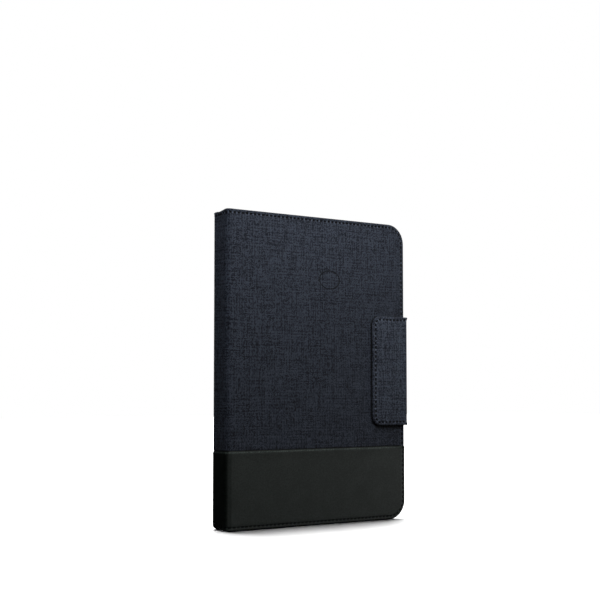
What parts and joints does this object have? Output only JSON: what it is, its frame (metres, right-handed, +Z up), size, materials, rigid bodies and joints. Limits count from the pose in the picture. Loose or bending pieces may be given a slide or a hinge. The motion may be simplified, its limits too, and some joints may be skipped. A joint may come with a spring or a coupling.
{
  "type": "tablet keyboard case",
  "caption": "Folio case for a tablet: covers folding on a spine, a magnetic closure tab, a kickstand, a sprung tablet holder and a built-in keyboard.",
  "frame": {"origin": "centre of the bounding box's base, on the surface the closed case stands on", "axes": "+Z up along the spine, the spine at -X and the open edge at +X, the front cover's outside faces -Y and the back cover's outside faces +Y"},
  "size_m": [0.1944, 0.0304, 0.27],
  "materials": {
    "woven_fabric": "heathered navy-grey cross weave, matt",
    "leatherette": "near-black, fine grain, soft sheen",
    "stiffening_board": "grey board",
    "lining": "dark grey microfibre",
    "holder_plastic": "satin black moulding",
    "keyboard_plastic": "matt black moulding",
    "keycap_plastic": "fine matt black",
    "steel": "plain",
    "magnet": "nickel plated",
    "silicone": "milky silicone",
    "circuit": "green solder mask",
    "battery_foil": "foil pouch",
    "elastic": "woven elastic",
    "light_pipe": "clear light pipe",
    "membrane_film": "printed film"
  },
  "bodies": {
    "back_cover": {"back_board": "stiffening_board", "back_fabric": "woven_fabric", "back_leather": "leatherette", "back_lining": "lining", "tab_root_skin": "woven_fabric", "tab_root_pad": "stiffening_board", "holder_base": "holder_plastic", "holder_screws": "steel", "guide_rails": "holder_plastic", "fixed_clips": "holder_plastic", "elastic_bands": "elastic"},
    "spine": {"spine_board": "stiffening_board", "spine_fabric": "woven_fabric", "spine_leather": "leatherette", "spine_lining": "lining", "front_fold_fabric": "woven_fabric", "front_fold_leather": "leatherette", "back_fold_fabric": "woven_fabric", "back_fold_leather": "leatherette"},
    "front_cover": {"front_board": "stiffening_board", "front_fabric": "woven_fabric", "front_leather": "leatherette", "front_lining": "lining", "catch_plates": "steel", "keyboard_surround": "leatherette", "keyboard_base": "keyboard_plastic", "keyboard_top": "keyboard_plastic", "key_membrane": "membrane_film", "circuit_board": "circuit", "dome_sheet": "silicone", "battery": "battery_foil", "usb_port": "steel", "status_lights": "light_pipe", "keyboard_screws": "steel"},
    "tab_side": {"tab_side_skin": "woven_fabric", "tab_side_stiffener": "stiffening_board", "tab_side_lining": "lining"},
    "tab_flap": {"tab_flap_skin": "woven_fabric", "tab_flap_stiffener": "stiffening_board", "tab_flap_lining": "lining", "tab_magnets": "magnet"},
    "kickstand": {"kickstand_board": "stiffening_board", "kickstand_fabric": "woven_fabric"},
    "holder_carriage": {"carriage_plate": "holder_plastic", "carriage_clips": "holder_plastic"},
    "function_keys": {"function_keys": "keycap_plastic"},
    "number_keys": {"number_keys": "keycap_plastic"},
    "backspace_key": {"backspace_key": "keycap_plastic"},
    "upper_keys": {"upper_keys": "keycap_plastic"},
    "tab_key": {"tab_key": "keycap_plastic"},
    "home_keys": {"home_keys": "keycap_plastic"},
    "caps_key": {"caps_key": "keycap_plastic"},
    "enter_key": {"enter_key": "keycap_plastic"},
    "lower_keys": {"lower_keys": "keycap_plastic"},
    "left_shift_key": {"left_shift_key": "keycap_plastic"},
    "right_shift_key": {"right_shift_key": "keycap_plastic"},
    "bottom_keys": {"bottom_keys": "keycap_plastic"},
    "space_bar": {"space_bar": "keycap_plastic"},
    "power_switch": {"power_switch": "keyboard_plastic"},
    "pair_button": {"pair_button": "keyboard_plastic"}
  },
  "joints": [
    {"name": "back_hinge", "type": "hinge", "parent": "back_cover", "child": "spine", "pos_m": [-0.09613, 0.01168, 0.135], "axis": [0, 0, -1], "range_deg": [0, 90]},
    {"name": "front_hinge", "type": "hinge", "parent": "spine", "child": "front_cover", "pos_m": [-0.09613, -0.01168, 0.135], "axis": [0, 0, -1], "range_deg": [0, 90], "deforming": ["tab_flap_skin", "tab_flap_stiffener", "tab_flap_lining", "tab_magnets"]},
    {"name": "tab_side_hinge", "type": "hinge", "parent": "back_cover", "child": "tab_side", "pos_m": [0.09664, 0.01459, 0.135], "axis": [0, 0, 1], "range_deg": [0, 120]},
    {"name": "tab_flap_hinge", "type": "hinge", "parent": "tab_side", "child": "tab_flap", "pos_m": [0.09664, -0.01459, 0.135], "axis": [0, 0, 1], "range_deg": [0, 90]},
    {"name": "kickstand_hinge", "type": "hinge", "parent": "back_cover", "child": "kickstand", "pos_m": [0.02, 0.01275, 0.135], "axis": [0, 0, -1], "range_deg": [0, 70]},
    {"name": "holder_slide", "type": "slide", "parent": "back_cover", "child": "holder_carriage", "axis": [1, 0, 0], "range_m": [0, 0.05], "stiffness_N_per_m": 60, "springref_m": -0.02, "deforming": ["elastic_bands"]},
    {"name": "function_keys_press", "type": "slide", "parent": "front_cover", "child": "function_keys", "axis": [0, -1, 0], "range_m": [0, 0.0013], "stiffness_N_per_m": 450, "deforming": ["dome_sheet"]},
    {"name": "number_keys_press", "type": "slide", "parent": "front_cover", "child": "number_keys", "axis": [0, -1, 0], "range_m": [0, 0.0013], "stiffness_N_per_m": 450},
    {"name": "backspace_key_press", "type": "slide", "parent": "front_cover", "child": "backspace_key", "axis": [0, -1, 0], "range_m": [0, 0.0013], "stiffness_N_per_m": 450},
    {"name": "upper_keys_press", "type": "slide", "parent": "front_cover", "child": "upper_keys", "axis": [0, -1, 0], "range_m": [0, 0.0013], "stiffness_N_per_m": 450},
    {"name": "tab_key_press", "type": "slide", "parent": "front_cover", "child": "tab_key", "axis": [0, -1, 0], "range_m": [0, 0.0013], "stiffness_N_per_m": 450},
    {"name": "home_keys_press", "type": "slide", "parent": "front_cover", "child": "home_keys", "axis": [0, -1, 0], "range_m": [0, 0.0013], "stiffness_N_per_m": 450},
    {"name": "caps_key_press", "type": "slide", "parent": "front_cover", "child": "caps_key", "axis": [0, -1, 0], "range_m": [0, 0.0013], "stiffness_N_per_m": 450},
    {"name": "enter_key_press", "type": "slide", "parent": "front_cover", "child": "enter_key", "axis": [0, -1, 0], "range_m": [0, 0.0013], "stiffness_N_per_m": 450},
    {"name": "lower_keys_press", "type": "slide", "parent": "front_cover", "child": "lower_keys", "axis": [0, -1, 0], "range_m": [0, 0.0013], "stiffness_N_per_m": 450},
    {"name": "left_shift_key_press", "type": "slide", "parent": "front_cover", "child": "left_shift_key", "axis": [0, -1, 0], "range_m": [0, 0.0013], "stiffness_N_per_m": 450},
    {"name": "right_shift_key_press", "type": "slide", "parent": "front_cover", "child": "right_shift_key", "axis": [0, -1, 0], "range_m": [0, 0.0013], "stiffness_N_per_m": 450},
    {"name": "bottom_keys_press", "type": "slide", "parent": "front_cover", "child": "bottom_keys", "axis": [0, -1, 0], "range_m": [0, 0.0013], "stiffness_N_per_m": 450},
    {"name": "space_bar_press", "type": "slide", "parent": "front_cover", "child": "space_bar", "axis": [0, -1, 0], "range_m": [0, 0.0013], "stiffness_N_per_m": 450},
    {"name": "power_switch_slide", "type": "slide", "parent": "front_cover", "child": "power_switch", "axis": [0, 0, -1], "range_m": [0, 0.003]},
    {"name": "pair_button_press", "type": "slide", "parent": "front_cover", "child": "pair_button", "axis": [0, -1, 0], "range_m": [0, 0.0005], "stiffness_N_per_m": 450}
  ]
}
